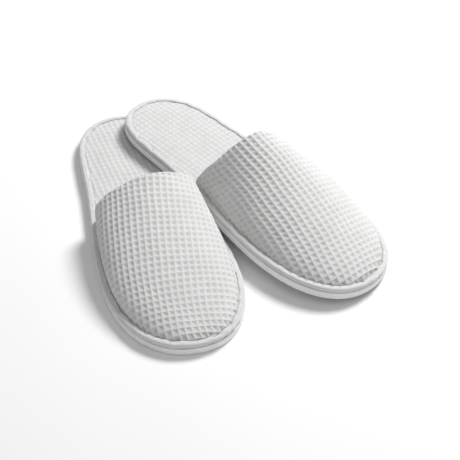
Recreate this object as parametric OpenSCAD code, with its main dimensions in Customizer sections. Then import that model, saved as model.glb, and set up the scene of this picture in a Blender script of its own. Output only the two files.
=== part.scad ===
// A pair of closed-toe spa slippers. Each one is a layered sole with a sewn edge
// binding and a padded waffle-cloth vamp. The right slipper lies flat. The left one
// rests with its heel on the right one's insole and its toe on the ground.
// Frame: the origin is the middle of the right sole on the ground, +Z is up, and the
// toes point towards -Y.

/* [Slipper outline] */
// Length of one slipper, heel to toe
slipper_length = 285; // [275:1:295]
// Half width that sets the breadth of the sole
half_width = 53; // [50:0.5:55]
// Sideways bow of the sole towards its outer side
sole_bow = 4; // [2:0.5:5]

/* [Sole layers] */
// Thickness of the moulded foam outsole
outsole_thickness = 6; // [5:0.1:7]
// Thickness of the non-woven backing under the board
backing_thickness = 0.6; // [0.4:0.1:1]
// Thickness of the insole board
board_thickness = 0.8; // [0.6:0.1:1.2]
// Thickness of the insole foam
insole_foam_thickness = 1.2; // [1:0.1:2]
// Thickness of the waffle cloth on the insole
insole_cover_thickness = 0.8; // [0.6:0.1:1]
// Depth of the tread grooves in the outsole
tread_depth = 1; // [0.5:0.1:1.5]
// Distance from one tread groove to the next
tread_pitch = 8; // [6:0.5:10]

/* [Edge binding] */
// Width of the binding's upper face
binding_width = 4.8; // [4:0.1:5.5]
// Thickness of the binding tape's upper leg
binding_top = 0.8; // [0.6:0.1:1]
// Number of stitches round one binding
stitch_count = 96; // [72:4:108]

/* [Vamp] */
// Distance from the heel to the feet of the throat opening
throat_station = 128; // [124:1:134]
// How far the crown of the right throat lies ahead of its feet
right_throat_curve = 10; // [8:1:14]
// How far the crown of the left throat lies ahead of its feet
left_throat_curve = 16; // [10:1:18]
// Height of the right vamp above the insole at the throat
right_crown_height = 51; // [46:1:54]
// Height of the left vamp above the insole at the throat
left_crown_height = 57.5; // [50:0.5:59]
// Thickness of the vamp's waffle cloth
cover_thickness = 1.6; // [1.2:0.1:2]
// Thickness of the vamp's foam
vamp_foam_thickness = 2; // [1.5:0.1:2.5]
// Thickness of the vamp's lining
lining_thickness = 0.6; // [0.4:0.1:0.8]

/* [Left slipper] */
// Sideways distance between the middles of the two soles
left_x = 82; // [82:0.5:90]
// Distance of the left sole's middle behind the right one's
left_behind = 9.5; // [8:0.5:11]
// Height of the left sole's middle
left_z = 7.5; // [7.5:0.1:9]
// Turn of the left slipper in plan
left_yaw = 24; // [24:0.5:26]
// Slope of the left slipper, heel up
left_pitch = 1.9; // [1.9:0.1:2.2]
// Tilt of the left slipper, inner edge up
left_roll = 4.4; // [4.4:0.1:4.8]

/* [Hidden] */

// Outline: a closed curve r(t), with t = 0 at the heel, 90 on the outer side and 180
// at the toe. Harmonics of t narrow the waist, widen the ball and square the ends.
width_terms = [half_width, -1.5, 4, 5];
length_terms = [-4.5, 4.5, -3];
sides = 96;
tangent_step = 0.5;

// Heights of the layers above the ground
backing_z = outsole_thickness;
board_z = backing_z + backing_thickness;
foam_z = board_z + board_thickness;
cover_z = foam_z + insole_foam_thickness;
insole_z = cover_z + insole_cover_thickness;
rim_z = insole_z + binding_top;

// The tape wraps the stack: it is set in from the outsole, and the stack from the tape
binding_set_in = 0.4;
stack_set_in = 1;
binding_under = 6;
cut_margin = 1;

// Tread: grooves across the ball and the heel, clear of the plain waist
tread_set_in = 6;
tread_groove = 3;
tread_zones = [[-115, -15], [70, 125]];

// Stitches lie on the tape near its inner edge
stitch_set_in = 3.6;
stitch_length = 4;
stitch_width = 0.7;
stitch_height = 0.2;
seam_step = 3;

// Vamp: sections across the foot, from the throat to the toe
vamp_columns = 22;
vamp_rows = 18;
toe_angle = 177;
flange_toe_angle = 179;
vamp_gap = 0.3;
flange_height = 0.3;
flange_set_in = 1.4;
flange_clearance = 0.2;
slot_margin = 1;
toe_round = 2.1;
arch_power = [1.8, 2.3];
toe_root = 1.3;
toe_skew = 0.12;
skew_fade = 1.6;
lean_height = 52;
outer_bulge = 0.14;
throat_pinch = 1.5;

// Each vamp has settled in its own way, given by these terms: the crown's height and
// how far it lies ahead, how far back the throat's inner foot is, the crown's fall to
// the toe, its skew and lean, the roots of its inner and outer shoulder, and how the
// roots change towards the toe
right_shape = [right_crown_height, right_throat_curve, 0, 0.63, 0.27, 0.38, 4.2, 2.6, 1.6];
left_shape = [left_crown_height, left_throat_curve, 16, 0.6, 0.35, 0.23, 3.25, 1.55, 0.4];
function height_of(shape) = shape[0];
function curve_of(shape) = shape[1];
function inner_back_of(shape) = shape[2];
function fall_of(shape) = shape[3];
function skew_of(shape) = shape[4];
function lean_of(shape) = shape[5];
function inner_root_of(shape) = shape[6];
function outer_root_of(shape) = shape[7];
function fade_of(shape) = shape[8];

// ---- Outline ----

function outline_x(t) =
    width_terms[0] * sin(t) + width_terms[1] * sin(2 * t) + width_terms[2] * sin(3 * t)
    + width_terms[3] * sin(4 * t) + sole_bow * pow(sin(t), 2);

function outline_y(t) =
    slipper_length / 2 * cos(t) - length_terms[0] * (cos(2 * t) - 1)
    - length_terms[1] * (cos(3 * t) - cos(t)) - length_terms[2] * (cos(4 * t) - 1);

// A point of the right slipper's outline, whose outer side is towards -X
function outline_point(t) = [-outline_x(t), outline_y(t)];

// The same point, moved inwards by the distance d
function inset_point(t, d) =
    let (
        step = outline_point(t + tangent_step) - outline_point(t - tangent_step),
        inward = [-step.y, step.x] / norm(step)
    )
    outline_point(t) + d * inward;

function outline_ring(d, from = 0, to = 360, count = sides) =
    [for (i = [0:count - 1]) inset_point(from + (to - from) * i / count, d)];

// The angle at which the outline passes the height y, found by halving
function angle_at(y, low = 0, high = 180, steps = 24) =
    let (middle = (low + high) / 2)
    steps == 0 ? middle
    : outline_y(middle) > y ? angle_at(y, middle, high, steps - 1)
    : angle_at(y, low, middle, steps - 1);

throat_y = slipper_length / 2 - throat_station;
outer_angle = angle_at(throat_y);

// The angle of the throat's inner foot
function inner_angle(shape) = angle_at(throat_y + inner_back_of(shape));

// A flat layer with the slipper's outline
module layer(d, z, height) {
    translate([0, 0, z])
        linear_extrude(height)
            polygon(outline_ring(d));
}

// ---- Vamp surface ----

function mix(a, b, f) = a + (b - a) * f;

// A point of the vamp at depth d under its outer face. column runs from 0 at the inner
// foot to 1 at the outer foot, and row from 0 at the throat to 1 at the toe.
function vamp_point(shape, column, row, d) =
    let (
        u = 2 * column - 1,
        set_in = binding_width + vamp_gap + d,
        pinch = throat_pinch * pow(1 - row, 6),
        inner_foot = inset_point(
            360 - mix(inner_angle(shape), toe_angle, row), set_in + pinch
        ),
        outer_foot = inset_point(mix(outer_angle, toe_angle, row), set_in),
        across = sin(90 * u),
        share = (across + 1) / 2,
        base = mix(inner_foot, outer_foot, share),
        back_y = throat_y + (1 - share) * inner_back_of(shape),
        toe_y = inset_point(toe_angle, set_in).y,
        along = min(1, max(0, (back_y - base.y) / (back_y - toe_y))),
        shift = curve_of(shape) * (1 - u * u) * (1 - along),
        y = base.y - shift,
        reach = row == 1 ? 1 : min(1, max(0, (back_y - y) / (back_y - toe_y))),
        skew = mix(skew_of(shape), toe_skew, min(1, skew_fade * reach)),
        skewed = across + skew * (across * across - 1),
        power = mix(arch_power[0], arch_power[1], reach),
        throat_root = skewed > 0 ? outer_root_of(shape) : inner_root_of(shape),
        root = mix(throat_root, toe_root, pow(reach, fade_of(shape))),
        arch = abs(u) == 1 ? 0 : pow(max(0, 1 - pow(abs(skewed), power)), 1 / root),
        crown = (height_of(shape) - d) * (1 - fall_of(shape) * reach)
            * sqrt(max(0, 1 - pow(reach, toe_round))),
        rise = crown * arch,
        half = norm(outer_foot - inner_foot) / 2,
        bulge = across > 0 ? outer_bulge : 0,
        swell = half * across * bulge * pow(4 * arch * (1 - arch), 2) * (1 - reach),
        lean = lean_of(shape) * rise * rise / lean_height * (1 - reach)
    )
    [base.x - swell + lean, y, insole_z + rise];

// The face at depth d as rows of points. lift raises the foot line by the flange.
function vamp_face(shape, d, lift = 0) =
    [for (j = [0:vamp_rows])
        [for (i = [0:vamp_columns])
            let (p = vamp_point(shape, i / vamp_columns, j / vamp_rows, d))
            [p.x, p.y, max(p.z, insole_z + lift)]]];

// A point of the seam flange's edge
function flange_edge(t, z) =
    let (p = inset_point(t, flange_set_in))
    [p.x, p.y, z];

// A face with the flange's edge added beside each row and ahead of the last one
function flanged(shape, face, z) =
    let (
        inner = flange_edge(360 - flange_toe_angle, z),
        outer = flange_edge(flange_toe_angle, z)
    )
    concat(
        [for (j = [0:vamp_rows])
            let (
                inner_t = mix(inner_angle(shape), toe_angle, j / vamp_rows),
                outer_t = mix(outer_angle, toe_angle, j / vamp_rows)
            )
            concat([flange_edge(360 - inner_t, z)], face[j], [flange_edge(outer_t, z)])],
        [[for (i = [0:vamp_columns + 2]) mix(inner, outer, i / (vamp_columns + 2))]]
    );

function flatten(rows) = [for (row = rows) for (p = row) p];

// A closed shell between two faces of equal size
module shell(top, bottom) {
    rows = len(top);
    columns = len(top[0]);
    count = rows * columns;
    function at(j, i, side) = j * columns + i + side * count;
    grid = [for (j = [0:rows - 2]) for (i = [0:columns - 2]) [j, i]];
    rim = concat(
        [for (i = [0:columns - 1]) [0, i]],
        [for (j = [1:rows - 1]) [j, columns - 1]],
        [for (i = [columns - 2:-1:0]) [rows - 1, i]],
        [for (j = [rows - 2:-1:1]) [j, 0]]
    );
    faces = concat(
        [for (c = grid) [at(c[0], c[1], 0), at(c[0] + 1, c[1] + 1, 0), at(c[0], c[1] + 1, 0)]],
        [for (c = grid) [at(c[0], c[1], 0), at(c[0] + 1, c[1], 0), at(c[0] + 1, c[1] + 1, 0)]],
        [for (c = grid) [at(c[0], c[1], 1), at(c[0], c[1] + 1, 1), at(c[0] + 1, c[1] + 1, 1)]],
        [for (c = grid) [at(c[0], c[1], 1), at(c[0] + 1, c[1] + 1, 1), at(c[0] + 1, c[1], 1)]],
        [for (k = [0:len(rim) - 1])
            let (a = rim[k], b = rim[(k + 1) % len(rim)])
            [at(a[0], a[1], 0), at(b[0], b[1], 0), at(b[0], b[1], 1)]],
        [for (k = [0:len(rim) - 1])
            let (a = rim[k], b = rim[(k + 1) % len(rim)])
            [at(a[0], a[1], 0), at(b[0], b[1], 1), at(a[0], a[1], 1)]]
    );
    polyhedron(points = concat(flatten(top), flatten(bottom)), faces = faces);
}

// ---- Sole ----

module tread_grooves() {
    linear_extrude(2 * tread_depth, center = true)
        intersection() {
            polygon(outline_ring(tread_set_in));
            for (zone = tread_zones)
                for (y = [zone[0]:tread_pitch:zone[1]])
                    translate([0, y])
                        square([4 * half_width, tread_groove], center = true);
        }
}

module outsole() {
    color("gainsboro")
        difference() {
            layer(0, 0, outsole_thickness);
            tread_grooves();
        }
}

module backing() {
    color("lightgray")
        layer(binding_under, backing_z, backing_thickness);
}

module insole_board() {
    color("burlywood")
        layer(stack_set_in, board_z, board_thickness);
}

module insole_foam() {
    color("ivory")
        layer(stack_set_in, foam_z, insole_foam_thickness);
}

module insole_cover() {
    color("white")
        layer(stack_set_in, cover_z, insole_cover_thickness);
}

// ---- Binding ----

// The slot that takes the vamp's flange, ahead of the throat
module flange_slot(shape) {
    start = outer_angle - slot_margin;
    end = 360 - inner_angle(shape) + slot_margin;
    translate([0, 0, insole_z - cut_margin])
        linear_extrude(cut_margin + flange_height)
            polygon(outline_ring(flange_set_in - flange_clearance, start, end));
}

module edge_binding(shape) {
    color("whitesmoke")
        difference() {
            layer(binding_set_in, backing_z, rim_z - backing_z);
            layer(stack_set_in, board_z, insole_z - board_z);
            layer(binding_width, cover_z, rim_z - cover_z + cut_margin);
            layer(binding_under, backing_z - cut_margin, foam_z - backing_z + cut_margin);
            flange_slot(shape);
        }
}

// Distance along the stitch line from the heel to step n, by adding up chords
function seam_lengths(n = 0, total = 0) =
    let (
        t = n * seam_step,
        chord = norm(inset_point(t + seam_step, stitch_set_in) - inset_point(t, stitch_set_in))
    )
    t >= 360 ? [[total, 360]] : concat([[total, t]], seam_lengths(n + 1, total + chord));

module binding_stitches() {
    lengths = seam_lengths();
    whole = lengths[len(lengths) - 1][0];
    color("white")
        for (i = [0:stitch_count - 1]) {
            t = lookup(whole * i / stitch_count, lengths);
            p = inset_point(t, stitch_set_in);
            heading = inset_point(t + tangent_step, stitch_set_in) - p;
            translate([p.x, p.y, rim_z + stitch_height / 2])
                rotate([0, 0, atan2(heading.y, heading.x)])
                    cube([stitch_length, stitch_width, stitch_height], center = true);
        }
}

// ---- Vamp ----

module vamp_cover(shape) {
    flange_z = insole_z + flange_height;
    color("white")
        shell(
            flanged(shape, vamp_face(shape, 0, flange_height), flange_z),
            flanged(shape, vamp_face(shape, cover_thickness), insole_z)
        );
}

module vamp_foam(shape) {
    color("ivory")
        shell(
            vamp_face(shape, cover_thickness),
            vamp_face(shape, cover_thickness + vamp_foam_thickness)
        );
}

module vamp_lining(shape) {
    depth = cover_thickness + vamp_foam_thickness;
    color("snow")
        shell(vamp_face(shape, depth), vamp_face(shape, depth + lining_thickness));
}

// ---- Placing ----

module left() {
    translate([left_x, left_behind, left_z])
        rotate([0, 0, left_yaw])
            rotate([left_pitch, 0, 0])
                rotate([0, left_roll, 0])
                    mirror([1, 0, 0])
                        children();
}

outsole();  // right_outsole
backing();  // right_backing
insole_board();  // right_insole_board
insole_foam();  // right_insole_foam
insole_cover();  // right_insole_cover
edge_binding(right_shape);  // right_edge_binding
binding_stitches();  // right_binding_stitches
vamp_cover(right_shape);  // right_vamp_cover
vamp_foam(right_shape);  // right_vamp_foam
vamp_lining(right_shape);  // right_vamp_lining
left() outsole();  // left_outsole
left() backing();  // left_backing
left() insole_board();  // left_insole_board
left() insole_foam();  // left_insole_foam
left() insole_cover();  // left_insole_cover
left() edge_binding(left_shape);  // left_edge_binding
left() binding_stitches();  // left_binding_stitches
left() vamp_cover(left_shape);  // left_vamp_cover
left() vamp_foam(left_shape);  // left_vamp_foam
left() vamp_lining(left_shape);  // left_vamp_lining
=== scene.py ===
"""The looks of a pair of closed-toe spa slippers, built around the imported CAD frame.

Each slipper is worked out in the right slipper's place, in metres. The left one is then
mirrored, turned and lifted, so that its heel is over the right insole. The soles are
alike, and each vamp, insole weave and crease has its own settled shape.
"""
import math

import bmesh
import bpy
import numpy as np
from mathutils import Matrix, Vector


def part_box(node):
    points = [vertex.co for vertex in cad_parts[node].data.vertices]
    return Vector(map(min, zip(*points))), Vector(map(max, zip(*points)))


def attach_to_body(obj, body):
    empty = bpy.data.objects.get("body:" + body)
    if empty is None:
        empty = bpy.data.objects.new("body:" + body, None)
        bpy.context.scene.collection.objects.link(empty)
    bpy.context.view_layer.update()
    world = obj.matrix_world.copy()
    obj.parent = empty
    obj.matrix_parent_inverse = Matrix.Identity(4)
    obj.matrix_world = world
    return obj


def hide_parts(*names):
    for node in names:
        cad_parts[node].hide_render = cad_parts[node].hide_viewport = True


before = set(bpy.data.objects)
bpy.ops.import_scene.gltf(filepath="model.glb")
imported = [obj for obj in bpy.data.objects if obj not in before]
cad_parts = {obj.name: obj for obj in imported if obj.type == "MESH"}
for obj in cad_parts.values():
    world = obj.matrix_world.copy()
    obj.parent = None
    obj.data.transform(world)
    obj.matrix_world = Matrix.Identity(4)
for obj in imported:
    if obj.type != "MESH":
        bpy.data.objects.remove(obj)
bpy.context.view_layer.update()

# ---- Outline of the sole, as in the frame ----
SLIPPER_LENGTH = 0.285
WIDTH_TERMS = (0.053, -0.0015, 0.004, 0.005)
LENGTH_TERMS = (-0.0045, 0.0045, -0.003)
SOLE_BOW = 0.004
TANGENT_STEP = 0.5

# ---- Heights of the layers, from the frame ----
SOLE_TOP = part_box("right_outsole")[1].z
BOARD_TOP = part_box("right_insole_board")[1].z
INSOLE_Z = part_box("right_insole_cover")[1].z
RIM_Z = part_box("right_edge_binding")[1].z

# ---- Place of the left slipper ----
LEFT_PLACE = (
    Matrix.Translation((0.082, 0.0095, 0.0075))
    @ Matrix.Rotation(math.radians(24), 4, "Z")
    @ Matrix.Rotation(math.radians(1.9), 4, "X")
    @ Matrix.Rotation(math.radians(4.4), 4, "Y")
    @ Matrix.Scale(-1, 4, (1, 0, 0))
)

# ---- Edge binding ----
BINDING_WIDTH = 0.0048
TAPE_THICKNESS = 0.0005
TAPE_UNDER = 0.006
CREASE_IN = 0.0002
CREASE_OUT = 0.0006
STITCH_COUNT = 96
STITCH_SET_IN = 0.0036
STITCH_LENGTH = 0.004
SIDE_MIDDLE = 0.0027
SIDE_RADIUS = 0.0025
LIP_RADIUS = 0.0003
PUCKER_IN = 0.0004
WAVE_IN = 0.0002
PUCKER_SIDE = 0.00016
CRINKLE_SIDE = 0.0006
PUCKER_RISE = 0.0002
WAVE_RISE = 0.00008
CRINKLE_RISE = 0.0002
STITCH_PULL = 0.00026
THREAD_RADIUS = 0.00028

# ---- Vamp ----
THROAT_STATION = 0.128
TOE_ANGLE = 177
FLANGE_TOE_ANGLE = 179
VAMP_GAP = 0.0003
FLANGE_SET_IN = 0.0022
TOE_ROUND = 2.1
ARCH_POWER = (1.8, 2.3)
TOE_ROOT = 1.3
TOE_SKEW = 0.12
SKEW_FADE = 1.6
LEAN_HEIGHT = 0.052
OUTER_BULGE = 0.14
THROAT_PINCH = 0.0015
COVER_THICKNESS = 0.0021
PADDING_DEPTH = (0.0023, 0.0033)
LINING_DEPTH = (0.0035, 0.004)
FOLD_RADIUS = 0.0025
HEM_LENGTH = 0.008
EDGE_RELIEF = 0.3
EDGE_START = -0.0015
EDGE_RUN = 0.005

# ---- How each vamp has settled: the same terms as the frame's, in metres ----
VAMP_SHAPE = {
    "right": {
        "height": 0.051, "curve": 0.010, "inner_back": 0.0, "fall": 0.63, "skew": 0.27,
        "lean": 0.38, "inner_root": 4.2, "outer_root": 2.6, "fade": 1.6,
    },
    "left": {
        "height": 0.0575, "curve": 0.016, "inner_back": 0.016, "fall": 0.6, "skew": 0.35,
        "lean": 0.23, "inner_root": 3.25, "outer_root": 1.55, "fade": 0.4,
    },
}

# ---- Waffle cloth ----
CELL = 0.0053
VAMP_RELIEF = 0.0019
INSOLE_RELIEF = 0.0005
INSOLE_CELL = (0.0047, 0.0053)
INSOLE_TURN = {"right": (0.07, 0.04), "left": (-0.06, 0.085)}
INSOLE_RIB = {"right": 0.72, "left": 0.52}
INSOLE_NODE = {"right": 0.35, "left": 0.65}
RIDGE_SHARE = 0.06

# ---- Drift of the weave over each vamp, p across and q along ----
# Each list is its turn, and its bends with p p, p q and q q.
GRAIN = {
    "right": {"across": (0.09, 0.3, 0.35, -1.2), "along": (0.17, 0.85, -0.5, 0.1)},
    "left": {"across": (0.15, 0.0, -0.5, -0.4), "along": (0.04, 3.0, 0.0, 0.4)},
}

# ---- Insole: its set-in from the outline, and the puff of its padding ----
INSOLE_SET_IN = 0.0012
PADDING_SET_IN = 0.0013
FELT_SET_IN = 0.0062
WEAVE_STEP = 0.0006
LAYER_STEP = 0.003
EDGE_PUFF = 0.0008
EDGE_PUFF_RUN = 0.0024
INSOLE_CROWN = 0.0006
INSOLE_CROWN_RUN = 0.016
TUCK_DEPTH = 0.0002
TUCK_START = 0.0035
TUCK_RUN = 0.002
UNEVEN = 0.00025
UNEVEN_START = 0.006
UNEVEN_RUN = 0.02

SIDES = ("right", "left")
VAMP_SEED = {"right": 11, "left": 23}
INSOLE_SEED = {"right": 37, "left": 41}
TAPE_SEED = {"right": 51, "left": 67}


# ---- Outline ----


def mix(a, b, f):
    return a + (b - a) * f


def outline(t):
    """Points of the right slipper's outline at t degrees: 0 heel, 90 outer side, 180 toe."""
    a = np.radians(t)
    x = sum(w * np.sin((k + 1) * a) for k, w in enumerate(WIDTH_TERMS))
    x = x + SOLE_BOW * np.sin(a) ** 2
    y = (
        SLIPPER_LENGTH / 2 * np.cos(a)
        - LENGTH_TERMS[0] * (np.cos(2 * a) - 1)
        - LENGTH_TERMS[1] * (np.cos(3 * a) - np.cos(a))
        - LENGTH_TERMS[2] * (np.cos(4 * a) - 1)
    )
    return np.stack([-x, y], -1)


def inset(t, distance):
    """The outline's points at t degrees, moved inwards by distance."""
    step = outline(t + TANGENT_STEP) - outline(t - TANGENT_STEP)
    inward = np.stack([-step[..., 1], step[..., 0]], -1)
    inward = inward / np.linalg.norm(inward, axis=-1, keepdims=True)
    return outline(t) + np.asarray(distance)[..., None] * inward


def even_angles(count, distance=0.0):
    """Angles that share out the inset outline into equal lengths, and its whole length."""
    t = np.linspace(0, 360, 1441)
    chords = np.linalg.norm(np.diff(inset(t, distance), axis=0), axis=1)
    lengths = np.concatenate([[0], np.cumsum(chords)])
    places = np.arange(count) / count * lengths[-1]
    return np.interp(places, lengths, t), lengths[-1]


def angle_at(y):
    """The angle on the outer side at which the outline passes the height y."""
    t = np.linspace(0, 180, 1801)
    return np.interp(-y, -outline(t)[:, 1], t)


THROAT_Y = SLIPPER_LENGTH / 2 - THROAT_STATION


def throat_angles(side):
    """The angles of the throat's inner and outer foot, each from the heel."""
    return angle_at(THROAT_Y + VAMP_SHAPE[side]["inner_back"]), angle_at(THROAT_Y)


# ---- Noise ----


def ripple(a, b, wave, seed, count=5):
    """Smooth noise, mostly between -1 and 1, from a few crossing waves."""
    rng = np.random.default_rng(seed)
    total = np.zeros(np.broadcast(a, b).shape)
    for _ in range(count):
        turn, phase = rng.uniform(0, 2 * np.pi, 2)
        length = wave * rng.uniform(0.7, 1.5)
        total += np.sin(2 * np.pi * (a * np.cos(turn) + b * np.sin(turn)) / length + phase)
    return total / count ** 0.5


# ---- Waffle weave ----


def waffle(p, q, seed):
    """How far down the pits go at p, q of the cloth: 0 on the ridges, 1 in the pits."""
    p = p + 0.0004 * ripple(p, q, 0.045, seed)
    q = q + 0.0004 * ripple(p, q, 0.05, seed + 1)
    across, along = p / CELL, q / CELL
    u = np.abs(2 * (across - np.floor(across)) - 1)
    v = np.abs(2 * (along - np.floor(along)) - 1)
    wall = (u ** 14 + v ** 14) ** (1 / 14) / (1 - RIDGE_SHARE)
    pit = np.clip(1 - wall, 0, 1)
    sag = 0.12 * (1 - np.minimum(u, v) ** 2)
    cells = np.random.default_rng(seed + 2).uniform(0.82, 1.0, (97, 89))
    depth = cells[np.floor(across).astype(int) % 97, np.floor(along).astype(int) % 89]
    return np.clip(pit * depth * 0.9 + sag * (1 - pit), 0, 1)


def flat_waffle(p, q, rib, node, seed):
    """The insole's flatter weave: 0 where its ridges cross and 1 in the pits.

    node is the share of the height that only the crossings have, and rib the
    lengthwise ridges' share of the rest.
    """
    p = p + 0.0003 * ripple(p, q, 0.03, seed)
    q = q + 0.0004 * ripple(p, q, 0.035, seed + 1)
    across, along = p / INSOLE_CELL[0], q / INSOLE_CELL[1]
    u = np.abs(2 * (across - np.floor(across)) - 1)
    v = np.abs(2 * (along - np.floor(along)) - 1)
    cells = np.random.default_rng(seed + 2).uniform(0.8, 1.0, (97, 89))
    depth = cells[np.floor(across).astype(int) % 97, np.floor(along).astype(int) % 89]
    ridge = rib * u ** 2 + (1 - rib) * v ** 2
    return np.clip(depth * (1 - node * (u * v) ** 2 - (1 - node) * ridge), 0, 1)


# ---- Vamp surface ----


def vamp_point(side, column, row, depth):
    """A point of the vamp: column 0 inner foot to 1 outer foot, row 0 throat to 1 toe."""
    shape = VAMP_SHAPE[side]
    column, row, depth = np.broadcast_arrays(column, row, depth)
    u = 2 * column - 1
    inner_angle, outer_angle = throat_angles(side)
    set_in = BINDING_WIDTH + VAMP_GAP + depth
    pinch = THROAT_PINCH * (1 - row) ** 6
    inner_foot = inset(360 - mix(inner_angle, TOE_ANGLE, row), set_in + pinch)
    outer_foot = inset(mix(outer_angle, TOE_ANGLE, row), set_in)
    across = np.sin(np.radians(90 * u))
    share = (across + 1) / 2
    base = mix(inner_foot, outer_foot, share[..., None])
    throat_y = mix(outline(inner_angle)[1], outline(outer_angle)[1], share)
    reach_of = throat_y - inset(np.full(u.shape, TOE_ANGLE), set_in)[..., 1]
    along = np.clip((throat_y - base[..., 1]) / reach_of, 0, 1)
    y = base[..., 1] - shape["curve"] * (1 - u * u) * (1 - along)
    reach = np.where(row >= 1, 1, np.clip((throat_y - y) / reach_of, 0, 1))
    skew = mix(shape["skew"], TOE_SKEW, np.clip(SKEW_FADE * reach, 0, 1))
    skewed = across + skew * (across ** 2 - 1)
    throat_root = np.where(skewed > 0, shape["outer_root"], shape["inner_root"])
    root = mix(throat_root, TOE_ROOT, reach ** shape["fade"])
    arch = np.clip(1 - np.abs(skewed) ** mix(*ARCH_POWER, reach), 0, 1) ** (1 / root)
    arch = np.where(np.abs(u) >= 1, 0, arch)
    crown = (shape["height"] - depth) * (1 - shape["fall"] * reach)
    rise = crown * np.sqrt(np.clip(1 - reach ** TOE_ROUND, 0, 1)) * arch
    half = np.linalg.norm(outer_foot - inner_foot, axis=-1) / 2
    bulge = np.where(across > 0, OUTER_BULGE, 0)
    swell = half * across * bulge * (4 * arch * (1 - arch)) ** 2 * (1 - reach)
    lean = shape["lean"] * rise ** 2 / LEAN_HEIGHT * (1 - reach)
    return np.stack([base[..., 0] - swell + lean, y, INSOLE_Z + rise], -1)


def middle_column():
    """The column that runs along the middle of the toe."""
    across = (math.sqrt(1 + 4 * TOE_SKEW ** 2) - 1) / (2 * TOE_SKEW)
    return (math.degrees(math.asin(across)) / 90 + 1) / 2


def middle_lengths(side):
    """Distance from the throat's edge along the middle column, row by row."""
    line = vamp_point(side, middle_column(), ROW_TABLE, 0.0)
    return np.concatenate([[0], np.cumsum(np.linalg.norm(np.diff(line, axis=0), axis=1))])


ROW_TABLE = np.linspace(0, 1, 1201)
LENGTH_TABLE = {side: middle_lengths(side) for side in SIDES}


def row_at(side, length):
    """The row at a distance from the throat's edge along the middle column."""
    return np.interp(length, LENGTH_TABLE[side], ROW_TABLE)


def length_at(side, row):
    return np.interp(row, ROW_TABLE, LENGTH_TABLE[side])


def even_columns(side, rows, count):
    """Columns at equal steps over the vamp for each row, and their distance from the middle."""
    fine = np.linspace(0, 1, 401)
    points = vamp_point(side, fine[None, :], rows[:, None], 0.0)
    steps = np.linalg.norm(np.diff(points, axis=1), axis=2)
    lengths = np.concatenate([np.zeros((len(rows), 1)), np.cumsum(steps, axis=1)], axis=1)
    columns = np.empty((len(rows), count))
    across = np.empty_like(columns)
    for j, along in enumerate(lengths):
        places = np.linspace(0, along[-1], count)
        columns[j] = np.interp(places, along, fine)
        across[j] = places - np.interp(middle_column(), fine, along)
    return columns, across


# ---- Meshes ----


def grid_faces(rows, columns, start=0, wrap=False):
    """Quads of a grid of points stored row by row; wrap joins the last row to the first."""
    j, i = np.meshgrid(np.arange(rows if wrap else rows - 1), np.arange(columns - 1), indexing="ij")
    k = (j + 1) % rows
    quads = [j * columns + i, k * columns + i, k * columns + i + 1, j * columns + i + 1]
    return (np.stack(quads, -1).reshape(-1, 4) + start).tolist()


def loop_faces(rings, sides, start=0, wrap=True):
    """Quads of a tube of rings whose points go all the way round."""
    j, i = np.meshgrid(np.arange(rings if wrap else rings - 1), np.arange(sides), indexing="ij")
    k, n = (j + 1) % rings, (i + 1) % sides
    quads = [j * sides + i, k * sides + i, k * sides + n, j * sides + n]
    return (np.stack(quads, -1).reshape(-1, 4) + start).tolist()


def border(rows, columns):
    """The indices round the edge of a grid."""
    first = list(range(columns))
    right = [j * columns + columns - 1 for j in range(1, rows)]
    last = [(rows - 1) * columns + i for i in range(columns - 2, -1, -1)]
    left = [j * columns for j in range(rows - 2, 0, -1)]
    return first + right + last + left


def shell_faces(top_shape, bottom_shape):
    """Faces of a closed shell whose bottom grid is as coarse as, or coarser than, its top."""
    rows, columns = top_shape
    low_rows, low_columns = bottom_shape
    step = (rows - 1) // (low_rows - 1)
    start = rows * columns
    faces = grid_faces(rows, columns) + grid_faces(low_rows, low_columns, start)
    upper = border(rows, columns)
    lower = [start + i for i in border(low_rows, low_columns)]
    for m in range(len(lower)):
        span = [upper[(m * step + k) % len(upper)] for k in range(step + 1)]
        faces.append(span + [lower[(m + 1) % len(lower)], lower[m]])
    return faces


def add_piece(name, side, points, faces, material, cloth=None, relief=None):
    """A smooth mesh piece of one slipper. cloth and relief are kept for its material, where relief
    darkens the pits as painted shade.
    """
    points = np.asarray(points, float).reshape(-1, 3)
    if side == "left":
        place = np.array(LEFT_PLACE)
        points = points @ place[:3, :3].T + place[:3, 3]
    mesh = bpy.data.meshes.new(f"{side}_{name}")
    mesh.from_pydata(points.tolist(), [], faces)
    if cloth is not None:
        layer = mesh.attributes.new("cloth_at", "FLOAT_VECTOR", "POINT")
        layer.data.foreach_set("vector", np.asarray(cloth, np.float32).ravel())
    if relief is not None:
        layer = mesh.attributes.new("relief", "FLOAT", "POINT")
        layer.data.foreach_set("value", np.asarray(relief, np.float32).ravel())
    work = bmesh.new()
    work.from_mesh(mesh)
    bmesh.ops.recalc_face_normals(work, faces=work.faces)
    work.to_mesh(mesh)
    work.free()
    mesh.shade_smooth()
    mesh.materials.append(material)
    piece = bpy.data.objects.new(f"{side}_{name}", mesh)
    bpy.context.scene.collection.objects.link(piece)
    return piece


def attach(piece, side, node):
    """The piece rides on its slipper and stands for one of the frame's nodes."""
    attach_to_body(piece, f"{side}_slipper")
    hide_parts(f"{side}_{node}")


# ---- Materials ----


def new_material(name, colour, roughness):
    """A material with a Principled shader, and that shader."""
    material = bpy.data.materials.new(name)
    material.use_nodes = True
    shader = material.node_tree.nodes["Principled BSDF"]
    shader.inputs["Base Color"].default_value = (*colour, 1)
    shader.inputs["Roughness"].default_value = roughness
    return material, shader


def add_node(material, kind, **values):
    """A node whose inputs or properties are set by name."""
    node = material.node_tree.nodes.new(kind)
    for key, value in values.items():
        if hasattr(node, key):
            setattr(node, key, value)
        else:
            node.inputs[key.replace("_", " ").title()].default_value = value
    return node


def link(material, output, socket):
    material.node_tree.links.new(output, socket)


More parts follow.
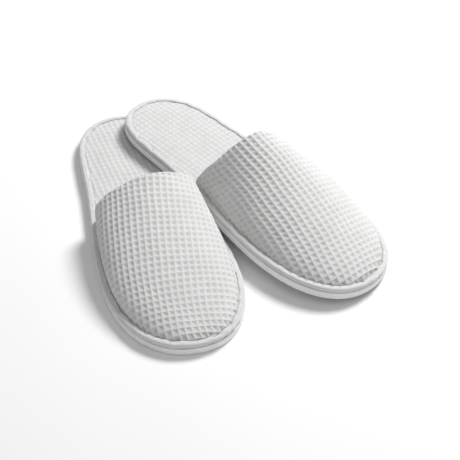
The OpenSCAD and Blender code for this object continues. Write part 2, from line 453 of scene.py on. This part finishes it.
def cloth_place(material):
    """The piece's own place on its cloth, in metres."""
    return add_node(material, "ShaderNodeAttribute", attribute_name="cloth_at").outputs["Vector"]


def object_place(material):
    return add_node(material, "ShaderNodeTexCoord").outputs["Object"]


def threads(material, place, pitch, axis):
    """Rounded yarns side by side, at pitch metres."""
    wave = add_node(
        material, "ShaderNodeTexWave", wave_type="BANDS", bands_direction=axis,
        scale=math.pi / 10 / pitch, distortion=0.6, detail=2.0, detail_scale=1.5,
    )
    link(material, place, wave.inputs["Vector"])
    return wave.outputs["Fac"]


def speckle(material, place, size, detail=4.0):
    noise = add_node(material, "ShaderNodeTexNoise", scale=1 / size, detail=detail)
    link(material, place, noise.inputs["Vector"])
    return noise.outputs["Fac"]


def blend_values(material, a, b, kind="ADD", share=None):
    """Two values joined by one sum; share is the second one's weight."""
    if share is not None:
        weigh = add_node(material, "ShaderNodeMath", operation="MULTIPLY")
        link(material, b, weigh.inputs[0])
        weigh.inputs[1].default_value = share
        b = weigh.outputs[0]
    join = add_node(material, "ShaderNodeMath", operation=kind)
    link(material, a, join.inputs[0])
    link(material, b, join.inputs[1])
    return join.outputs[0]


def ramp(material, value, stops):
    """Colours by value: stops are (position, colour)."""
    node = add_node(material, "ShaderNodeValToRGB")
    while len(node.color_ramp.elements) < len(stops):
        node.color_ramp.elements.new(0.5)
    for element, (position, colour) in zip(node.color_ramp.elements, stops):
        element.position = position
        element.color = (*colour, 1)
    link(material, value, node.inputs["Fac"])
    return node.outputs["Color"]


def bump(material, shader, height, distance, strength=1.0):
    node = add_node(material, "ShaderNodeBump", strength=strength, distance=distance)
    link(material, height, node.inputs["Height"])
    link(material, node.outputs["Normal"], shader.inputs["Normal"])


def grey(level, warm=0.0):
    """A grey with a slight warm cast."""
    return (level * (1 + warm), level, level * (1 - warm))


def cloth_finish(material, shader, weave, place, tone, relief=None):
    """Cotton: yarns in relief, soft stains of tone, sheen on the fibres, and, where relief is
    given, painted shade that darkens the pits.
    """
    mottle = speckle(material, place, 0.02)
    mottle = ramp(material, mottle, [(0.3, grey(0.42)), (0.7, grey(0.58))])
    value = blend_values(material, mottle, weave, share=0.25)
    # Painted shade: the pits are darkened by their depth, in place of the shade that falls in them.
    if relief is not None:
        pits = add_node(material, "ShaderNodeAttribute", attribute_name="relief")
        value = blend_values(material, value, pits.outputs["Fac"], "SUBTRACT", share=relief)
    low, high = tone
    colours = ramp(material, value, [(0.0, grey(low, 0.004)), (0.75, grey(high, 0.006))])
    link(material, colours, shader.inputs["Base Color"])
    shader.inputs["Sheen Weight"].default_value = 0.25
    shader.inputs["Sheen Roughness"].default_value = 0.5
    shader.inputs["Specular IOR Level"].default_value = 0.25
    fuzz = speckle(material, place, 0.0006, 2.0)
    bump(material, shader, blend_values(material, weave, fuzz, share=0.5), 0.00012, 0.7)


def waffle_cloth(name, tone, relief):
    """Waffle cloth; relief is how much painted shade darkens its pits."""
    material, shader = new_material(name, grey(0.8), 0.92)
    place = cloth_place(material)
    warp = threads(material, place, 0.00065, "X")
    weft = threads(material, place, 0.00065, "Y")
    yarns = blend_values(material, warp, weft, "MAXIMUM")
    cloth_finish(material, shader, yarns, place, tone, relief)
    return material


def plain_cloth(name, pitch, tone):
    material, shader = new_material(name, grey(0.8), 0.85)
    place = cloth_place(material)
    warp = threads(material, place, pitch, "X")
    weft = threads(material, place, pitch, "Y")
    cloth_finish(material, shader, blend_values(material, warp, weft, "MULTIPLY"), place, tone)
    return material


def twill_tape():
    """Binding tape: fine slanting ribs and a soft sheen."""
    material, shader = new_material("binding_tape", grey(0.84), 0.72)
    place = cloth_place(material)
    twill = threads(material, place, 0.0007, "DIAGONAL")
    cloth_finish(material, shader, twill, place, (0.56, 0.66))
    return material


def sewing_thread():
    material, shader = new_material("sewing_thread", grey(0.88), 0.55)
    place = cloth_place(material)
    twist = threads(material, place, 0.0005, "DIAGONAL")
    cloth_finish(material, shader, twist, place, (0.76, 0.9))
    return material


def moulded_foam(name, tone, cell, roughness):
    """Closed-cell foam: a fine grain of cells, with scuffs that change its gloss."""
    material, shader = new_material(name, grey(tone[1]), roughness)
    place = object_place(material)
    grain = add_node(material, "ShaderNodeTexVoronoi", scale=1 / cell)
    link(material, place, grain.inputs["Vector"])
    patches = speckle(material, place, 0.015)
    value = blend_values(material, patches, grain.outputs["Distance"], share=0.3)
    colours = ramp(material, value, [(0.3, grey(tone[0])), (0.8, grey(tone[1]))])
    link(material, colours, shader.inputs["Base Color"])
    gloss = ramp(material, patches, [(0.3, grey(roughness - 0.1)), (0.7, grey(roughness + 0.1))])
    link(material, gloss, shader.inputs["Roughness"])
    bump(material, shader, grain.outputs["Distance"], 0.00015, 0.6)
    return material


def pressed_fibres(name, low, high, size):
    """Felt or board: matted fibres."""
    material, shader = new_material(name, high, 0.95)
    place = object_place(material)
    fibres = add_node(
        material, "ShaderNodeTexNoise", scale=1 / size, detail=6.0, distortion=1.5
    )
    link(material, place, fibres.inputs["Vector"])
    colours = ramp(material, fibres.outputs["Fac"], [(0.3, low), (0.7, high)])
    link(material, colours, shader.inputs["Base Color"])
    bump(material, shader, fibres.outputs["Fac"], 0.0002, 0.8)
    return material


MATERIALS = {
    # The waffle cloths' last number is their share of painted shade in the pits.
    "vamp": waffle_cloth("waffle_cloth_vamp", (0.48, 0.75), 0.5),
    "insole": waffle_cloth("waffle_cloth_insole", (0.6, 0.84), 0.8),
    "tape": twill_tape(),
    "thread": sewing_thread(),
    "lining": plain_cloth("lining_cloth", 0.0005, (0.7, 0.84)),
    "outsole": moulded_foam("outsole_foam", (0.78, 0.86), 0.0011, 0.6),
    "padding": moulded_foam("padding_foam", (0.72, 0.8), 0.0008, 0.8),
    "felt": pressed_fibres("backing_felt", grey(0.5), grey(0.66), 0.0015),
    "board": pressed_fibres("insole_board", (0.3, 0.22, 0.14), (0.5, 0.39, 0.27), 0.002),
}


# ---- Vamp ----


def cloth_path(side, main_rows, fold_steps, hem_steps):
    """The cloth from its turned hem, round the throat's fold, and forwards to the toe.

    Gives, for each row of points, its distance from the throat, its turn round the
    fold, and the distance along the cloth itself.
    """
    hem = np.linspace(FOLD_RADIUS + HEM_LENGTH, FOLD_RADIUS, hem_steps)
    turn = np.linspace(np.pi, 0, fold_steps + 2)[1:-1]
    main = length_at(side, np.linspace(row_at(side, FOLD_RADIUS), 1, main_rows))
    place = np.concatenate([hem, np.full(len(turn), FOLD_RADIUS), main])
    turns = np.concatenate([np.full(len(hem), np.pi), turn, np.zeros(len(main))])
    along = np.concatenate(
        [FOLD_RADIUS * (2 - np.pi) - hem, FOLD_RADIUS * (1 - turn), main]
    )
    return place, turns, along


def folded_point(side, columns, place, turns, under):
    """Points of the cloth at the distance under below its outer face."""
    radius = FOLD_RADIUS - under
    length = place[:, None] - radius * np.sin(turns)[:, None]
    depth = FOLD_RADIUS - radius * np.cos(turns)[:, None]
    return vamp_point(side, columns, row_at(side, length), depth)


def flange_edge(t, height):
    """The cloth's edge under the binding at the angle t."""
    return np.concatenate([inset(t, np.full(np.shape(t), FLANGE_SET_IN)), height], -1)


def with_flange(side, points, rows):
    """The cloth's outer face with its seam allowance added at both feet and at the toe."""
    inner_angle, outer_angle = throat_angles(side)
    height = np.full((len(rows), 1), INSOLE_Z + 0.0002)
    inner = flange_edge(360 - mix(inner_angle, TOE_ANGLE, rows), height)[:, None]
    outer = flange_edge(mix(outer_angle, TOE_ANGLE, rows), height)[:, None]
    points = np.concatenate([inner, points, outer], axis=1)
    ends = flange_edge(np.array([360 - FLANGE_TOE_ANGLE, FLANGE_TOE_ANGLE]), height[:2])
    toe = mix(ends[0], ends[1], np.linspace(0, 1, points.shape[1])[:, None])
    return np.concatenate([points, toe[None]], axis=0)


def widen(values):
    """The same values for the seam allowance as for the edge beside it."""
    return np.pad(values, ((0, 1), (1, 1)), mode="edge")


def drifted(p, q, turned, drift):
    """How far the weave is off at p, q, with its turn on the coordinate turned."""
    turn, bend, twist, far_bend = drift
    return turn * turned + bend * p * p + twist * p * q + far_bend * q * q


def vamp_grain(p, q, side):
    """Cloth coordinates of the vamp's weave, pulled off true by its seams."""
    grain = GRAIN[side]
    return p + drifted(p, q, q, grain["across"]), q + drifted(p, q, p, grain["along"])


def vamp_cover(side):
    """The waffle cloth over the foot, its throat edge folded under in a plain hem."""
    place, turns, along = cloth_path(side, main_rows=256, fold_steps=10, hem_steps=14)
    rows = row_at(side, place - FOLD_RADIUS * np.sin(turns))
    columns, across = even_columns(side, rows, 279)
    p, q = vamp_grain(across, np.broadcast_to(along[:, None], across.shape), side)
    relief = waffle(p, q, VAMP_SEED[side])
    risen = smooth_step((along - EDGE_START) / EDGE_RUN)
    relief = relief * mix(EDGE_RELIEF, 1, risen)[:, None]
    top = folded_point(side, columns, place, turns, VAMP_RELIEF * relief)
    top = with_flange(side, top, rows)
    under = folded_point(side, columns, place, turns, np.full_like(columns, COVER_THICKNESS))
    under = np.pad(under, ((0, 1), (1, 1), (0, 0)), mode="edge")[::4, ::4]
    shape = top.shape[:2]
    low_shape = under.shape[:2]
    cloth = np.stack([widen(p), widen(q), np.zeros(shape)], -1)
    low_cloth = cloth[::4, ::4]
    relief = widen(relief)
    # The relief also goes to the material, where it darkens the pits as painted shade.
    piece = add_piece(
        "waffle_vamp", side,
        np.concatenate([top.reshape(-1, 3), under.reshape(-1, 3)]),
        shell_faces(shape, low_shape), MATERIALS["vamp"],
        np.concatenate([cloth.reshape(-1, 3), low_cloth.reshape(-1, 3)]),
        np.concatenate([relief.ravel(), np.zeros(low_shape).ravel()]),
    )
    attach(piece, side, "vamp_cover")


def vamp_layer(name, side, start, depths, material, margin=0.0):
    """A smooth layer under the vamp's cloth, from start behind the throat to the toe."""
    end = LENGTH_TABLE[side][-1] - margin
    rows = np.linspace(row_at(side, start), row_at(side, end), 65)
    columns, across = even_columns(side, rows, 61)
    top = vamp_point(side, columns, rows[:, None], depths[0])
    bottom = vamp_point(side, columns, rows[:, None], depths[1])
    along = np.broadcast_to(length_at(side, rows)[:, None], across.shape)
    cloth = np.stack([across, along, np.zeros_like(across)], -1).reshape(-1, 3)
    return add_piece(
        name, side, np.concatenate([top.reshape(-1, 3), bottom.reshape(-1, 3)]),
        shell_faces(across.shape, across.shape), material, np.concatenate([cloth, cloth]),
    )


def vamp_padding(side):
    piece = vamp_layer(
        "vamp_padding", side, FOLD_RADIUS + 0.0005, PADDING_DEPTH, MATERIALS["padding"], 0.001
    )
    attach(piece, side, "vamp_foam")


def vamp_lining(side):
    start = FOLD_RADIUS + HEM_LENGTH + 0.0004
    piece = vamp_layer("vamp_lining_cloth", side, start, LINING_DEPTH, MATERIALS["lining"], 0.001)
    attach(piece, side, "vamp_lining")


# ---- Sole layers ----


def plan_grid(set_in, row_step, column_step, divide=1):
    """Points across the sole in rows of equal y, set in from the outline."""
    t = np.linspace(1.2, 178.8, 1777)
    edge = inset(t, np.full(t.shape, set_in))
    move = np.abs(np.diff(edge, axis=0))
    measure = np.maximum(move[:, 1] / row_step, np.linalg.norm(move, axis=1) / (2 * row_step))
    total = np.concatenate([[0], np.cumsum(measure)])
    rows = int(math.ceil(total[-1] / divide)) * divide + 1
    t = np.interp(np.linspace(0, total[-1], rows), total, t)
    width = 2 * WIDTH_TERMS[0] / column_step
    columns = int(math.ceil(width / divide)) * divide + 1
    share = np.linspace(0, 1, columns)[None, :, None]
    inner = inset(360 - t, np.full(t.shape, set_in))[:, None]
    outer = inset(t, np.full(t.shape, set_in))[:, None]
    return mix(inner, outer, share)


def edge_distance(plan):
    """Each point's distance from the sole's outline."""
    edge = outline(np.arange(0, 360, 1.0))
    rows = [np.sqrt(((row[:, None] - edge[None]) ** 2).sum(-1)).min(-1) for row in plan]
    return np.array(rows)


def smooth_step(x):
    x = np.clip(x, 0, 1)
    return x * x * (3 - 2 * x)


def insole_top(plan):
    """Height of the padded insole: pulled down under the tape, and crowned between."""
    distance = edge_distance(plan)
    pulled = 0.0008 * ripple(plan[..., 0], plan[..., 1], 0.011, 6)
    start = distance - BINDING_WIDTH
    crown = EDGE_PUFF * smooth_step((start + 0.0003 + 0.5 * pulled) / EDGE_PUFF_RUN)
    crown = crown + INSOLE_CROWN * smooth_step(start / INSOLE_CROWN_RUN)
    tuck = -TUCK_DEPTH * (1 - smooth_step((distance - TUCK_START) / TUCK_RUN))
    soft = UNEVEN * ripple(plan[..., 0], plan[..., 1], 0.07, 5)
    soft = soft * smooth_step((distance - UNEVEN_START) / UNEVEN_RUN)
    return INSOLE_Z + crown + tuck + soft, distance


def plan_shell(name, side, plan, top, low_plan, bottom, material, cloth=None, relief=None):
    """A closed layer between two heights over plan grids."""
    upper = np.concatenate([plan, top[..., None]], -1)
    lower = np.concatenate([low_plan, bottom[..., None]], -1)
    if cloth is None:
        cloth = np.concatenate([plan, np.zeros(plan.shape[:2])[..., None]], -1)
    step = (plan.shape[0] - 1) // (low_plan.shape[0] - 1)
    low_cloth = cloth[::step, ::step]
    if relief is not None:
        relief = np.concatenate([relief.ravel(), np.zeros(low_plan.shape[:2]).ravel()])
    return add_piece(
        name, side, np.concatenate([upper.reshape(-1, 3), lower.reshape(-1, 3)]),
        shell_faces(plan.shape[:2], low_plan.shape[:2]), material,
        np.concatenate([cloth.reshape(-1, 3), low_cloth.reshape(-1, 3)]), relief,
    )


def insole_cover(side):
    """Waffle cloth over the insole, held down by the tape round its edge."""
    plan = plan_grid(INSOLE_SET_IN, WEAVE_STEP, WEAVE_STEP, divide=4)
    top, distance = insole_top(plan)
    lean, slant = INSOLE_TURN[side]
    p = plan[..., 0] + lean * plan[..., 1]
    q = plan[..., 1] + slant * plan[..., 0]
    relief = flat_waffle(p, q, INSOLE_RIB[side], INSOLE_NODE[side], INSOLE_SEED[side])
    free = smooth_step((distance - 0.0035) / 0.003)
    low = plan[::4, ::4]
    thickness = 0.00075
    # relief * free also goes to the material, where it darkens the pits as painted shade.
    piece = plan_shell(
        "waffle_insole", side, plan, top - INSOLE_RELIEF * relief * free,
        low, top[::4, ::4] - thickness, MATERIALS["insole"],
        np.stack([p, q, np.zeros_like(p)], -1), relief * free,
    )
    attach(piece, side, "insole_cover")


def insole_padding(side):
    """The insole's foam, crowned under its cloth."""
    plan = plan_grid(PADDING_SET_IN, LAYER_STEP, LAYER_STEP)
    top = insole_top(plan)[0] - 0.00085
    piece = plan_shell(
        "insole_padding", side, plan, top, plan,
        np.full(plan.shape[:2], BOARD_TOP + 0.00005), MATERIALS["padding"],
    )
    attach(piece, side, "insole_foam")


def felt_backing(side):
    """Non-woven backing glued between the board and the outsole."""
    low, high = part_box("right_backing")[0].z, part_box("right_backing")[1].z
    plan = plan_grid(FELT_SET_IN, LAYER_STEP, LAYER_STEP)
    uneven = 0.00006 * ripple(plan[..., 0], plan[..., 1], 0.02, 9)
    piece = plan_shell(
        "felt_backing", side, plan, high - 0.0001 + uneven, plan,
        np.full(plan.shape[:2], low + 0.00003), MATERIALS["felt"],
    )
    attach(piece, side, "backing")


# ---- Binding ----


def side_arc(middle, radii, power, start, end, count):
    """Part of a rounded side in section, as (set in, height); 180 degrees faces outwards."""
    a = np.radians(np.linspace(start, end, count))
    c, s = np.cos(a), np.sin(a)
    x = middle[0] + radii[0] * np.sign(c) * np.abs(c) ** (2 / power)
    z = middle[1] + radii[1] * np.sign(s) * np.abs(s) ** (2 / power)
    return np.stack([x, z], -1)


def tape_section():
    """The tape's section: under the stack, round its edge, and over the insole."""
    low, high = SOLE_TOP + 0.00015, RIM_Z + 0.0002
    middle, half = (low + high) / 2, (high - low) / 2
    outer = side_arc((SIDE_MIDDLE, middle), (SIDE_RADIUS, half), 2.3, 270, 90, 15)
    inner_radii = (SIDE_RADIUS - TAPE_THICKNESS, half - TAPE_THICKNESS)
    inner = side_arc((SIDE_MIDDLE, middle), inner_radii, 2.6, 90, 270, 11)
    lip_middle = (BINDING_WIDTH - LIP_RADIUS, RIM_Z - LIP_RADIUS)
    lip = side_arc(lip_middle, (LIP_RADIUS, LIP_RADIUS), 2, 90, -90, 5)
    start = np.array([[TAPE_UNDER, low], [0.0043, low]])
    over = np.array([[0.0036, high - 0.00005]])
    back = np.array([[0.0036, high - TAPE_THICKNESS - 0.0001]])
    end = np.array([[0.0043, low + TAPE_THICKNESS], [TAPE_UNDER, low + TAPE_THICKNESS]])
    return np.concatenate([start, outer, over, lip, back, inner, end])


def binding(side):
    """Binding tape sewn round the edge, lightly puckered between its stitches."""
    section = tape_section()
    t, whole = even_angles(960, STITCH_SET_IN)
    x, y = outline(t).T
    seed = TAPE_SEED[side]
    inner = np.clip((section[:, 0] - 0.0025) / 0.0023, 0, 1)[None]
    upper = np.clip((section[:, 1] - SOLE_TOP - 0.0015) / 0.002, 0, 1)[None]
    pitch = whole / STITCH_COUNT
    phase = 2 * np.pi * np.arange(len(t)) * whole / len(t) / pitch
    pull = 0.5 + 0.5 * np.cos(phase)
    pucker = ripple(x, y, 0.013, seed)
    wave = ripple(x, y, 0.05, seed + 1)
    crinkle = crinkle_share(t, side) * ripple(x, y, 0.0065, seed + 2, 3)
    set_in = section[None, :, 0] + inner * upper * (PUCKER_IN * pucker + WAVE_IN * wave)[:, None]
    crease = np.clip(PUCKER_SIDE * pucker + CRINKLE_SIDE * crinkle, -CREASE_OUT, CREASE_IN)
    set_in = set_in + (1 - inner) * crease[:, None]
    height = section[None, :, 1] + upper * (
        PUCKER_RISE * pucker - STITCH_PULL * pull + WAVE_RISE * wave
    )[:, None] * np.exp(-((section[:, 0] - STITCH_SET_IN) / 0.0016) ** 2)[None]
    height = height + CRINKLE_RISE * (crinkle[:, None] * (1 - upper) * (1 - inner))
    plan = inset(t[:, None], set_in)
    points = np.concatenate([plan, height[..., None]], -1)
    run = np.concatenate([[0], np.cumsum(np.linalg.norm(np.diff(section, axis=0), axis=1))])
    along = np.arange(len(t)) * whole / len(t)
    cloth = np.stack(
        [*np.broadcast_arrays(run[None], along[:, None]), np.zeros(set_in.shape)], -1
    )
    piece = add_piece(
        "binding_tape", side, points, loop_faces(len(t), len(section)), MATERIALS["tape"], cloth
    )
    attach(piece, side, "edge_binding")


def crinkle_share(t, side):
    """How creased the tape's side is: most at the inner side of the toe."""
    middle, spread = (206, 16) if side == "right" else (168, 10)
    return 0.12 + np.exp(-(((t - middle) / spread) ** 2))


def binding_thread(side):
    """Lockstitches that dip into the tape at both ends."""
    starts, whole = even_angles(STITCH_COUNT, STITCH_SET_IN)
    rings, sides = 9, 8
    along = np.linspace(0, 1, rings)
    turn = 2 * np.pi * np.arange(sides) / sides
    t = starts[:, None] + 360 * STITCH_LENGTH / whole * (along[None] - 0.5)
    middle = inset(t, np.full(t.shape, STITCH_SET_IN))
    heading = np.gradient(middle, axis=1)
    heading = heading / np.linalg.norm(heading, axis=-1, keepdims=True)
    normal = np.stack([-heading[..., 1], heading[..., 0]], -1)
    arch = np.sin(np.pi * along) ** 0.6
    height = RIM_Z - 0.0001 + 0.0002 * arch
    radius = THREAD_RADIUS * (0.25 + 0.75 * arch)
    spread = (radius[:, None] * np.cos(turn))[None, ..., None]
    plan = middle[:, :, None] + normal[:, :, None] * spread
    lift = height[:, None] + radius[:, None] * np.sin(turn)[None]
    lift = np.broadcast_to(lift[None], plan.shape[:3])
    points = np.concatenate([plan, lift[..., None]], -1)
    faces = []
    for k in range(STITCH_COUNT):
        first = k * rings * sides
        faces += loop_faces(rings, sides, first, wrap=False)
        faces.append(list(range(first, first + sides)))
        faces.append(list(range(first + (rings - 1) * sides, first + rings * sides)))
    run = np.broadcast_to((along * STITCH_LENGTH)[None, :, None], plan.shape[:3])
    round_way = np.broadcast_to((turn * THREAD_RADIUS)[None, None], plan.shape[:3])
    cloth = np.stack([run, round_way, np.zeros_like(run)], -1)
    piece = add_piece("binding_thread", side, points, faces, MATERIALS["thread"], cloth)
    attach(piece, side, "binding_stitches")


# ---- Outsole ----

RIB_PITCH = 0.0016
RIB_STEPS = 6
RIB_DEPTH = 0.00016
RIM_WIDTH = 0.007
RIM_ROUND = 0.0012
PLATE_SET_IN = 0.0056
PLATE_STEP = 0.0001
TREAD_DEPTH = 0.001
TREAD_PITCH = 0.008
TREAD_GROOVE = 0.003
TREAD_ZONES = ((-0.115, -0.015), (0.07, 0.125))
TREAD_WALL = 0.0003
PLATE_MARGIN = (0, 0.0014, 0.0018)
PLATE_MARGIN_SHARE = (0, 0.1, 0.15)


def rim_section():
    """Section of the outsole's rim, with rounded shoulders, as (set in, height)."""
    middle, half = SOLE_TOP / 2, SOLE_TOP / 2
    side = side_arc((RIM_ROUND, middle), (RIM_ROUND, half), 4, 270, 90, 17)
    inner = np.array([[RIM_WIDTH, SOLE_TOP], [RIM_WIDTH, 0.0]])
    return np.concatenate([side, inner])


def plate_edges(y):
    """Where the tread plate's rows start on the outer side and end on the inner side."""
    t = np.linspace(0, 180, 1801)
    outer = inset(t, np.full(t.shape, PLATE_SET_IN))
    inner = inset(360 - t, np.full(t.shape, PLATE_SET_IN))
    return np.interp(-y, -outer[:, 1], outer[:, 0]), np.interp(-y, -inner[:, 1], inner[:, 0])


def groove_rows():
    """Heights along the sole at which a tread groove starts, ends and has its walls."""
    toe, heel = inset(np.array([180.0, 0.0]), np.full(2, PLATE_SET_IN))[:, 1]
    near = np.array([0.0001, 0.0004, 0.001, 0.002])
    rows = [*(toe + near), *(heel - near)]
    for low, high in TREAD_ZONES:
        for y in np.arange(low, high + TREAD_WALL, TREAD_PITCH):
            for edge in (y - TREAD_GROOVE / 2, y + TREAD_GROOVE / 2):
                rows += [edge - TREAD_WALL / 2, edge + TREAD_WALL / 2]
    fill = np.arange(toe + near[-1], heel - near[-1], 0.004)
    return np.unique(np.concatenate([rows, fill]).round(6))


def tread_height(y, distance):
    """Depth of the tread at y: a groove every pitch in each zone."""
    depth = np.zeros_like(y)
    for low, high in TREAD_ZONES:
        centre = low + TREAD_PITCH * np.clip(
            np.round((y - low) / TREAD_PITCH), 0, int((high - low) / TREAD_PITCH)
        )
        depth = np.maximum(depth, np.abs(y - centre) < TREAD_GROOVE / 2)
    return PLATE_STEP + TREAD_DEPTH * depth * (distance > RIM_WIDTH + 0.0002)


def outsole(side):
    """Foam outsole: a finely ribbed rim round a grooved tread plate."""
    section = rim_section()
    count = int(round(even_angles(1)[1] / RIB_PITCH)) * RIB_STEPS
    t, _ = even_angles(count)
    rib = 0.5 - 0.5 * np.cos(2 * np.pi * np.arange(count) / RIB_STEPS)
    face = np.clip(1 - section[:, 0] / RIM_ROUND, 0, 1)[None] ** 0.5
    set_in = section[None, :, 0] + RIB_DEPTH * rib[:, None] * face
    rim = np.concatenate(
        [inset(t[:, None], set_in), np.broadcast_to(section[None, :, 1:], (*set_in.shape, 1))], -1
    )
    y = groove_rows()[::-1]
    outer, inner = plate_edges(y)
    margin = np.minimum(PLATE_MARGIN, (inner - outer)[:, None] * PLATE_MARGIN_SHARE)
    edges = outer[:, None] + margin
    far_edges = inner[:, None] - margin[:, ::-1]
    share = np.linspace(0, 1, 15)[None, 1:-1]
    between = mix(edges[:, -1:], far_edges[:, :1], share)
    x = np.concatenate([edges, between, far_edges], 1)
    plan = np.stack([x, np.broadcast_to(y[:, None], x.shape)], -1)
    bottom = tread_height(plan[..., 1], edge_distance(plan))
    plate = np.concatenate([plan, bottom[..., None]], -1)
    lid = np.full(plan.shape[:2], SOLE_TOP - PLATE_STEP)
    lid = np.concatenate([plan, lid[..., None]], -1)
    faces = loop_faces(count, len(section))
    offset = count * len(section)
    faces += [[i + offset for i in f] for f in shell_faces(plan.shape[:2], plan.shape[:2])]
    points = np.concatenate([rim.reshape(-1, 3), plate.reshape(-1, 3), lid.reshape(-1, 3)])
    piece = add_piece("ribbed_outsole", side, points, faces, MATERIALS["outsole"])
    attach(piece, side, "outsole")


# ---- Board: the frame's own solid, with a fibre-board material ----


def insole_board(side):
    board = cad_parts[f"{side}_insole_board"]
    board.data.materials.clear()
    board.data.materials.append(MATERIALS["board"])


# ---- Setting ----

CAMERA_TARGET = Vector((0.0586, -0.0192, 0))
CAMERA_TURN = -16.9
CAMERA_RISE = 42.6
CAMERA_DISTANCE = 1.104
CAMERA_LENS = 106


def direction(azimuth, elevation):
    """Unit vector from the object towards a viewer; azimuth 0 is in front of the toes."""
    a, e = math.radians(azimuth), math.radians(elevation)
    return Vector((math.sin(a) * math.cos(e), -math.cos(a) * math.cos(e), math.sin(e)))


def camera():
    data = bpy.data.cameras.new("camera")
    data.lens = CAMERA_LENS
    shot = bpy.data.objects.new("camera", data)
    back = direction(CAMERA_TURN, CAMERA_RISE)
    shot.location = CAMERA_TARGET + back * CAMERA_DISTANCE
    shot.rotation_euler = (-back).to_track_quat("-Z", "Y").to_euler()
    bpy.context.scene.collection.objects.link(shot)
    bpy.context.scene.camera = shot


def area_light(name, azimuth, elevation, distance, size, power):
    data = bpy.data.lights.new(name, "AREA")
    data.shape = "DISK"
    data.size = size
    data.energy = power
    lamp = bpy.data.objects.new(name, data)
    towards = direction(azimuth, elevation)
    lamp.location = CAMERA_TARGET + towards * distance
    lamp.rotation_euler = (-towards).to_track_quat("-Z", "Y").to_euler()
    bpy.context.scene.collection.objects.link(lamp)


def studio():
    """A white floor, a soft key from behind on the right, and an even fill."""
    mesh = bpy.data.meshes.new("floor")
    reach, level = 6.0, -0.0002
    corners = [(reach * x, reach * y, level) for x, y in ((-1, -1), (1, -1), (1, 1), (-1, 1))]
    mesh.from_pydata(corners, [], [(0, 1, 2, 3)])
    floor = bpy.data.objects.new("floor", mesh)
    material, shader = new_material("floor_paper", grey(0.9), 0.9)
    paper = speckle(material, object_place(material), 0.3)
    tones = ramp(material, paper, [(0.3, grey(0.9)), (0.7, grey(0.92))])
    link(material, tones, shader.inputs["Base Color"])
    shader.inputs["Specular IOR Level"].default_value = 0.1
    mesh.materials.append(material)
    bpy.context.scene.collection.objects.link(floor)
    world = bpy.data.worlds.new("studio")
    world.use_nodes = True
    world.node_tree.nodes["Background"].inputs["Color"].default_value = (1, 1, 1, 1)
    world.node_tree.nodes["Background"].inputs["Strength"].default_value = 0.33
    bpy.context.scene.world = world
    area_light("key", azimuth=122, elevation=50, distance=1.6, size=0.6, power=27)
    area_light("fill", azimuth=0, elevation=80, distance=1.8, size=1.4, power=2)
    area_light("front", azimuth=-10, elevation=12, distance=1.6, size=0.7, power=1.8)
    bpy.context.scene.view_settings.view_transform = "Standard"


camera()
studio()
for side in SIDES:
    outsole(side)
    felt_backing(side)
    insole_board(side)
    insole_padding(side)
    insole_cover(side)
    vamp_padding(side)
    vamp_lining(side)
    vamp_cover(side)
    binding_thread(side)
    binding(side)
